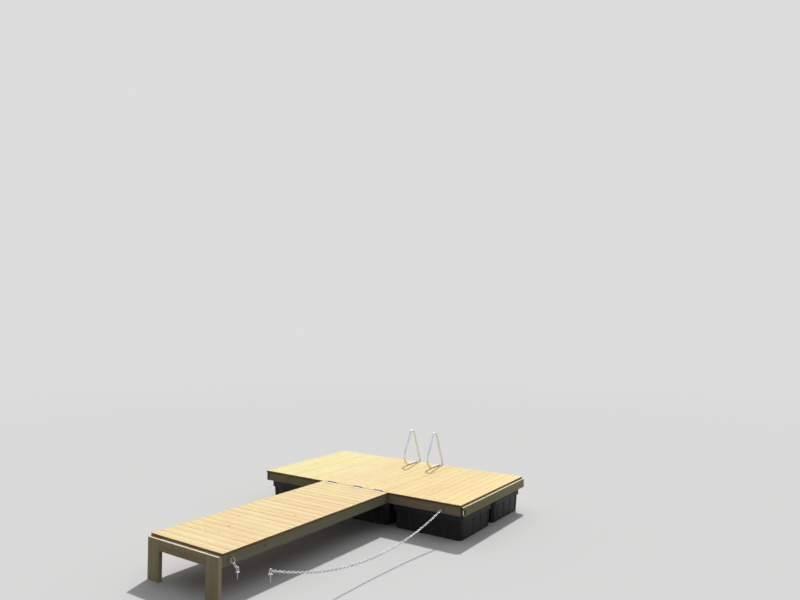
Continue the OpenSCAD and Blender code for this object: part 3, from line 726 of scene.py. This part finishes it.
def frameScrews(name, body, points, kind="pan", finish=dullZinc):
    # points: places on a face, each with the way that the face looks
    addScrews(name, body, [facing(point, normal, dice.uniform(0, math.pi)) for point, normal in points],
              kind, finish)


crossTimbers = ("platform_front_beam", "platform_front_joist", "platform_rear_joist", "platform_rear_beam")
deckScrews("platform_deck_screws", "platform", "platform_planks", 0, deck["platformCount"], False,
           crossTimbers)
deckScrews("gangway_deck_screws", "gangway", "gangway_planks", 1, deck["gangwayCount"], True,
           ("gangway_left_beam", "gangway_middle_beam", "gangway_right_beam"))

beamLow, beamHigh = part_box("platform_left_end_board")
heights = [beamLow.z + share * (beamHigh.z - beamLow.z) for share in screw["rows"]]
leftFace = beamLow.x + timber["endDress"]
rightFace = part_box("platform_right_end_board")[1].x - timber["endDress"]
platformFixings = []
for node in crossTimbers:
    lineY = middleOf(node, 1)
    for z in heights:
        platformFixings.append(((leftFace, lineY, z), (-1, 0, 0)))
        if node != "platform_front_beam" or z == heights[0]:  # the notch is above
            platformFixings.append(((rightFace, lineY, z), (1, 0, 0)))
platformFixings.append(((rightFace, middleOf("platform_front_beam", 1), beamHigh.z - screw["topInset"]),
                        (1, 0, 0)))
frameScrews("platform_frame_screws", "platform", platformFixings, "sunk")

gangwayFixings = []
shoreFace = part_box("gangway_shore_board")[0].y
lakeLine = middleOf("gangway_lake_board", 1)
for side, beam in ((-1, "gangway_left_beam"), (1, "gangway_right_beam")):
    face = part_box(beam)[0 if side < 0 else 1].x
    for z in heights:
        gangwayFixings.append(((face, lakeLine, z), (side, 0, 0)))
        gangwayFixings.append(((middleOf(beam, 0), shoreFace, z), (0, -1, 0)))
gangwayFixings += [((middleOf("gangway_middle_beam", 0), shoreFace, z), (0, -1, 0)) for z in heights]
frameScrews("gangway_frame_screws", "gangway", gangwayFixings)

print("jetty: floats")

floatLook = {"rimHeight": 0.100, "rimOut": 0.018, "corner": 0.070, "cornerSteps": 9, "draft": 0.014,
             "foot": 0.024, "footSteps": 4, "grooveDepth": 0.010, "grooveWidth": 0.044,
             "grooveMargin": 0.004, "groovePitch": 0.190, "grooveInset": 0.030, "easing": 0.004,
             "easingFrom": 28, "flat": 0.5, "smooth": 32}


def makeFloat(node):
    low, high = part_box(node)
    size, middle = high - low, (low + high) / 2
    shellTop = size.z - floatLook["rimHeight"]
    halves = [size.x / 2 - floatLook["rimOut"], size.y / 2 - floatLook["rimOut"]]
    shape = bmesh.new()
    bmesh.ops.create_cube(shape, size=1.0)
    bmesh.ops.scale(shape, vec=(2 * halves[0], 2 * halves[1], shellTop), verts=shape.verts)
    bmesh.ops.translate(shape, vec=(0, 0, shellTop / 2), verts=shape.verts)
    uprights = [e for e in shape.edges if abs(e.verts[0].co.z - e.verts[1].co.z) > hair]
    roundEdges(shape, uprights, floatLook["corner"], floatLook["cornerSteps"])

    # Strips where the grooves go
    grooves = [[], []]
    stripHalf = floatLook["grooveWidth"] / 2 + floatLook["grooveMargin"]
    for axis in (0, 1):
        run = 2 * (halves[axis] - floatLook["corner"]) - floatLook["grooveWidth"] - floatLook["grooveInset"]
        steps = max(1, round(run / floatLook["groovePitch"]))
        normal = Vector((1 - axis, axis, 0))
        for i in range(steps + 1):
            at = -run / 2 + i * run / steps
            grooves[axis].append(at)
            for edge in (at - stripHalf, at + stripHalf):
                bmesh.ops.bisect_plane(shape, geom=[*shape.faces, *shape.edges, *shape.verts],
                                       plane_co=normal * edge, plane_no=normal)

    # The sides draw in towards the foot
    bmesh.ops.scale(shape, vec=(1 - floatLook["draft"] / halves[0], 1 - floatLook["draft"] / halves[1], 1),
                    verts=[v for v in shape.verts if v.co.z < hair])
    shape.normal_update()

    def inGroove(f, axis):
        centre = f.calc_center_median()[axis]
        return (abs(f.normal[1 - axis]) > 0.9
                and any(abs(centre - at) < floatLook["grooveWidth"] / 4 for at in grooves[axis]))

    bmesh.ops.inset_individual(shape, faces=[f for f in shape.faces if inGroove(f, 0) or inGroove(f, 1)],
                               thickness=floatLook["grooveDepth"], depth=-floatLook["grooveDepth"],
                               use_even_offset=True)

    # A wider rim on top: first out, then up
    roof = [f for f in shape.faces if f.normal.z > 0.9]
    for stretch, rise in (((size.x / 2 / halves[0], size.y / 2 / halves[1], 1), 0),
                          ((1, 1, 1), floatLook["rimHeight"])):
        pushed = bmesh.ops.extrude_face_region(shape, geom=roof)["geom"]
        bmesh.ops.delete(shape, geom=[f for f in roof if f.is_valid], context="FACES_ONLY")
        roof = [f for f in pushed if isinstance(f, bmesh.types.BMFace)]
        bmesh.ops.scale(shape, vec=stretch, verts=vertsOf(pushed))
        bmesh.ops.translate(shape, vec=(0, 0, rise), verts=vertsOf(pushed))

    joinFlats(shape, floatLook["flat"])
    footEdges = [e for e in sharpEdges(shape) if all(v.co.z < hair for v in e.verts)]
    roundEdges(shape, footEdges, floatLook["foot"], floatLook["footSteps"], clamp=True)
    roundEdges(shape, sharpEdges(shape, floatLook["easingFrom"]), floatLook["easing"], clamp=True)
    bmesh.ops.translate(shape, vec=(middle.x, middle.y, low.z), verts=shape.verts)
    bmesh.ops.recalc_face_normals(shape, faces=shape.faces)
    finishPiece(node + "_shell", shape, blackPlastic, "platform", [node], floatLook["smooth"])


for row in ("front", "rear"):
    for side in ("left", "middle", "right"):
        makeFloat(f"float_{row}_{side}")

print("jetty: ladder")


def bentTube(shape, points, bends, radius, sides, stepAngle):
    # A round tube through the points, bent at each inner one with its own radius; gives both end rings
    direction = (points[1] - points[0]).normalized()
    here = points[0]
    edges = firstEdges = startRing(shape, here, direction, radius, sides)
    for i in range(1, len(points)):
        angle = trim = 0.0
        if i < len(points) - 1:
            following = (points[i + 1] - points[i]).normalized()
            angle = direction.angle(following)
            trim = bends[i - 1] * math.tan(angle / 2)
        target = points[i] - direction * trim
        edges = pushRing(shape, edges, target - here)
        here = target
        if angle:
            axis = direction.cross(following).normalized()
            centre = here + axis.cross(direction) * bends[i - 1]
            edges = turnRing(shape, edges, centre, axis, angle, round(math.degrees(angle) / stepAngle))
            here = points[i] + following * trim
            direction = following
    return firstEdges, edges


# In metres, from the deck's lake edge and above its top; stepAngle in degrees
ladder = {"radius": 0.016, "standoff": 0.019, "foot": 0.020, "knee": 0.025, "peak": 0.6549,
          "reach": 0.560, "peakShift": 0.055, "footEnd": 0.080, "bends": (0.100, 0.065, 0.140),
          "sides": 24, "stepAngle": 5, "endEdge": 0.003, "endSteps": 3, "treadEdge": 0.0008}


def ladderRail(node):
    x, lakeEdge = middleOf(node, 0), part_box("platform_planks")[1].y
    path = [(ladder["standoff"], ladder["foot"] - deckTop), (ladder["standoff"], ladder["knee"]),
            (-ladder["reach"] / 2 + ladder["peakShift"], ladder["peak"]),
            (-ladder["reach"], ladder["radius"]), (-ladder["footEnd"], ladder["radius"])]
    shape = bmesh.new()
    ends = bentTube(shape, [Vector((x, lakeEdge + out, deckTop + up)) for out, up in path],
                    ladder["bends"], ladder["radius"], ladder["sides"], ladder["stepAngle"])
    for ring in ends:
        bmesh.ops.contextual_create(shape, geom=ring)
    roundEdges(shape, ends[0] + ends[1], ladder["endEdge"], ladder["endSteps"])
    bmesh.ops.recalc_face_normals(shape, faces=shape.faces)
    finishPiece(node + "_tube", shape, satinTube, "platform", [node])


ladderRail("ladder_left_rail")
ladderRail("ladder_right_rail")


def easedCopy(node, name, finish, body, edge, darker=None):
    # The node's own form with eased edges; faces picked by darker take the dark bluish knuckle finish,
    # which is painted shade
    shape = cleanCopy(node)
    if edge:
        roundEdges(shape, sharpEdges(shape), edge, clamp=True)
    if darker:
        for f in shape.faces:
            f.material_index = int(darker(f.calc_center_median()))
    piece = finishPiece(name, shape, finish, body, [node])
    if darker:
        piece.data.materials.append(knuckleShadeSteel)


for node in ("ladder_upper_step", "ladder_lower_step"):
    easedCopy(node, node + "_tread", satinTube, "platform", ladder["treadEdge"])

print("jetty: hinges, mooring plates and eyes")

# screws: how far along a leaf and back from its end
hinge = {"knuckle": 0.0084, "edge": 0.0006, "pinEdge": 0.0008, "leaf": 0.004,
         "screws": ((-0.045, 0.020), (0.0, 0.042), (0.045, 0.020))}
plate = {"edge": 0.001, "eyeEdge": 0.0008, "thick": 0.005, "screwAcross": 0.016, "screwRise": 0.026}
seamY = middleOf("middle_hinge_pin", 1)


# Hinge faces round the pin, which take painted shade
def nearPin(place):
    return abs(place.y - seamY) < hinge["knuckle"]


for side in ("left", "middle", "right"):
    for body in ("platform", "gangway"):
        easedCopy(f"{side}_hinge_{body}_leaf", f"{side}_hinge_{body}_plate", leafZinc, body,
                  hinge["edge"], nearPin)
    easedCopy(f"{side}_hinge_pin", f"{side}_hinge_pin_bar", knuckleShadeSteel, "platform",
              hinge["pinEdge"])
for node, name, body in (("left_mooring_plate", "left_mooring_lug", "platform"),
                         ("right_mooring_plate", "right_mooring_lug", "platform"),
                         ("shore_mooring_plate", "shore_mooring_lug", "gangway")):
    easedCopy(node, name, dullZinc, body, plate["edge"])
easedCopy("corner_bar", "corner_bar_rod", galvanised, "platform", plate["edge"])
for node, name, body, edge in (("mooring_anchor_eye", "mooring_anchor_ring", "platform", plate["eyeEdge"]),
                               ("shore_anchor_eye", "shore_anchor_ring", "gangway", plate["eyeEdge"]),
                               ("shore_ring", "shore_plate_ring", "gangway", 0)):
    easedCopy(node, name, chainZinc, body, edge)

leafScrews = {"platform": [], "gangway": []}
for side in ("left", "middle", "right"):
    for body, way in (("platform", 1), ("gangway", -1)):
        low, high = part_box(f"{side}_hinge_{body}_leaf")
        far = high.y if way > 0 else low.y
        for along, back in hinge["screws"]:
            leafScrews[body].append((((low.x + high.x) / 2 + along, far - way * back,
                                      low.z + hinge["leaf"]), (0, 0, 1)))
for body in ("platform", "gangway"):
    frameScrews(body + "_hinge_screws", body, leafScrews[body], finish=galvanised)

plateScrews = {"platform": [], "gangway": []}
for node, body in (("left_mooring_plate", "platform"), ("right_mooring_plate", "platform"),
                   ("shore_mooring_plate", "gangway")):
    low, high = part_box(node)
    middle = (low + high) / 2
    for across in (-plate["screwAcross"], plate["screwAcross"]):
        for rise in (-plate["screwRise"], plate["screwRise"]):
            z = middle.z + rise
            if body == "platform":
                spot = ((middle.x + across, high.y - plate["thick"], z), (0, -1, 0))
            else:
                spot = ((low.x + plate["thick"], middle.y + across, z), (1, 0, 0))
            plateScrews[body].append(spot)
frameScrews("mooring_plate_screws", "platform", plateScrews["platform"])
frameScrews("shore_plate_screws", "gangway", plateScrews["gangway"])

print("jetty: chains")

chain = {"wire": 0.004, "width": 0.028, "pitch": 0.033, "seat": 0.0003, "catenary": 4.4,
         "anchorX": 1.390, "anchorReach": 3.070, "anchorRise": 0.028, "halfSeam": 0.006,
         "lugReach": 0.026, "lugHole": 0.009, "lugThick": 0.008, "eyeRadius": 0.018, "eyeWire": 0.005,
         "sides": 8, "bendSteps": 6, "smooth": 60}
crown = chain["width"] / 2 - chain["wire"]  # the inner radius of a link's bends


def linkMesh(innerLength):
    # One link along X, lying in the XY plane
    half = innerLength / 2 + chain["wire"] - crown
    shape = bmesh.new()
    edges = startRing(shape, (-half, crown, 0), (1, 0, 0), chain["wire"], chain["sides"])
    for way in (1, -1):
        edges = pushRing(shape, edges, (way * 2 * half, 0, 0))
        edges = turnRing(shape, edges, (way * half, 0, 0), (0, 0, 1), -math.pi, chain["bendSteps"])
    bmesh.ops.remove_doubles(shape, verts=shape.verts, dist=hair)
    bmesh.ops.recalc_face_normals(shape, faces=shape.faces)
    return meshFrom(shape, "link")


def mooringChain():
    # The same hanging curve as the frame's chain: from the right lug to the anchor's ring
    plateLow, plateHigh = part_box("right_mooring_plate")
    start = Vector(((plateLow.x + plateHigh.x) / 2, plateHigh.y - chain["lugReach"],
                    (plateLow.z + plateHigh.z) / 2))
    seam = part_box("platform_planks")[0].y - chain["halfSeam"]
    end = Vector((chain["anchorX"], seam - chain["anchorReach"], deckTop + chain["anchorRise"]))
    flat = Vector((end.x - start.x, end.y - start.y))
    span, rise, a = flat.length, end.z - start.z, chain["catenary"]
    lowest = span / 2 - a * math.asinh(rise / (2 * a * math.sinh(span / (2 * a))))
    offset = math.sinh(-lowest / a)
    arc = a * (math.sinh((span - lowest) / a) - offset)
    # The first and last links hang from the lug's hole and the eye, each with its seat
    fall = crown - math.sqrt(crown ** 2 - chain["lugThick"] ** 2 / 4)
    hook = chain["lugHole"] - chain["wire"] - chain["seat"] - fall
    endHook = chain["eyeRadius"] - chain["eyeWire"] - chain["wire"] - chain["seat"]
    used = arc - hook - endHook - 2 * chain["wire"] - chain["seat"]
    count = 2 * round((used / chain["pitch"] - 1) / 2) + 1
    step = used / count
    link = linkMesh(step + chain["seat"])
    yaw = Matrix.Rotation(math.atan2(flat.y, flat.x), 4, "Z")
    places = [[], []]
    for i in range(count):
        along = hook + chain["wire"] + chain["seat"] / 2 + (i + 0.5) * step
        s = lowest + a * math.asinh(along / a + offset)
        z = start.z + a * (math.cosh((s - lowest) / a) - math.cosh(lowest / a))
        slope = math.atan(math.sinh((s - lowest) / a))
        places[i % 2].append(Matrix.Translation((start.x, start.y, z)) @ yaw @ Matrix.Translation((s, 0, 0))
                             @ Matrix.Rotation(-slope, 4, "Y")
                             @ Matrix.Rotation(math.pi / 2 * (i % 2), 4, "X"))
    for lie, linkPlaces in zip(("level", "upright"), places):
        shape = bmesh.new()
        stamp(shape, link, linkPlaces)
        finishPiece(f"chain_{lie}_links_wire", shape, chainZinc, "platform",
                    [f"chain_{lie}_links"], chain["smooth"])


mooringChain()
easedCopy("shore_chain", "shore_chain_wire", chainZinc, "gangway", 0)
